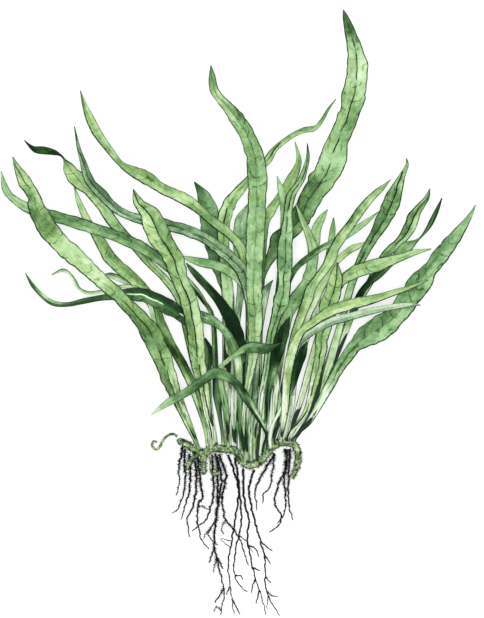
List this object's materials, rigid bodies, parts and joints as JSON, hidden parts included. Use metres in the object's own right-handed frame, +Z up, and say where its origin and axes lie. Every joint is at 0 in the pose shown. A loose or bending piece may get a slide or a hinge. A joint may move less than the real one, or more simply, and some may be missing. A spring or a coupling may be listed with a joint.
{
  "type": "narrow leaf java fern",
  "caption": "Narrow leaf java fern: long wavy leaves in a bunch on a creeping rhizome with hairy roots, laid on its back.",
  "frame": {"origin": "bottom centre of the plant's box, on the surface it lies on", "axes": "+Y up the plant to its leaf tips, +Z up from the surface to the side that faced the viewer, +X to the viewer's right"},
  "size_m": [0.2376, 0.3053, 0.0506],
  "materials": {
    "dark_leaf": "satin",
    "mid_leaf": "satin",
    "light_leaf": "satin",
    "grey_leaf": "satin",
    "rhizome": "rough",
    "root": "rough"
  },
  "bodies": {
    "root": {"leaf_left_broad": "mid_leaf", "leaf_left_long": "mid_leaf", "leaf_left_twisted": "light_leaf", "leaf_left_grey": "grey_leaf", "leaf_left_upper": "mid_leaf", "leaf_left_green": "mid_leaf", "leaf_left_thin_low": "light_leaf", "leaf_left_dark_long": "dark_leaf", "leaf_left_thin_wavy": "light_leaf", "leaf_front_left": "light_leaf", "leaf_back_dark": "dark_leaf", "leaf_arching_back": "mid_leaf", "leaf_middle_back": "mid_leaf", "leaf_middle_pale": "light_leaf", "leaf_inner_darkest": "dark_leaf", "leaf_inner_left": "dark_leaf", "leaf_inner_right": "dark_leaf", "leaf_centre_front": "light_leaf", "leaf_front_arching": "dark_leaf", "leaf_front_small": "mid_leaf", "leaf_middle_grey": "grey_leaf", "leaf_right_tallest": "mid_leaf", "leaf_right_inner": "mid_leaf", "leaf_right_small": "light_leaf", "leaf_right_front": "light_leaf", "leaf_right_pale": "light_leaf", "leaf_right_pale_small": "light_leaf", "leaf_right_back_small": "grey_leaf", "leaf_right_narrow": "mid_leaf", "leaf_right_pale_low": "light_leaf", "leaf_right_curved": "mid_leaf", "leaf_right_upper": "mid_leaf", "leaf_right_two_tone": "light_leaf", "leaf_right_twisted": "dark_leaf", "leaf_right_pale_crossing": "light_leaf", "leaf_right_front_broad": "light_leaf", "leaf_right_olive": "mid_leaf", "leaf_right_grey": "grey_leaf", "leaf_right_large": "mid_leaf", "leaf_right_dark_back": "dark_leaf", "rhizome": "rhizome", "young_frond_left": "rhizome", "young_frond_middle": "rhizome", "root_01": "root", "root_02": "root", "root_03": "root", "root_04": "root", "root_05": "root", "root_06": "root", "root_07": "root", "root_08": "root", "root_09": "root", "root_10": "root", "root_11": "root", "root_12": "root", "root_13": "root", "root_14": "root", "root_15": "root", "root_16": "root", "root_17": "root"}
  },
  "joints": []
}
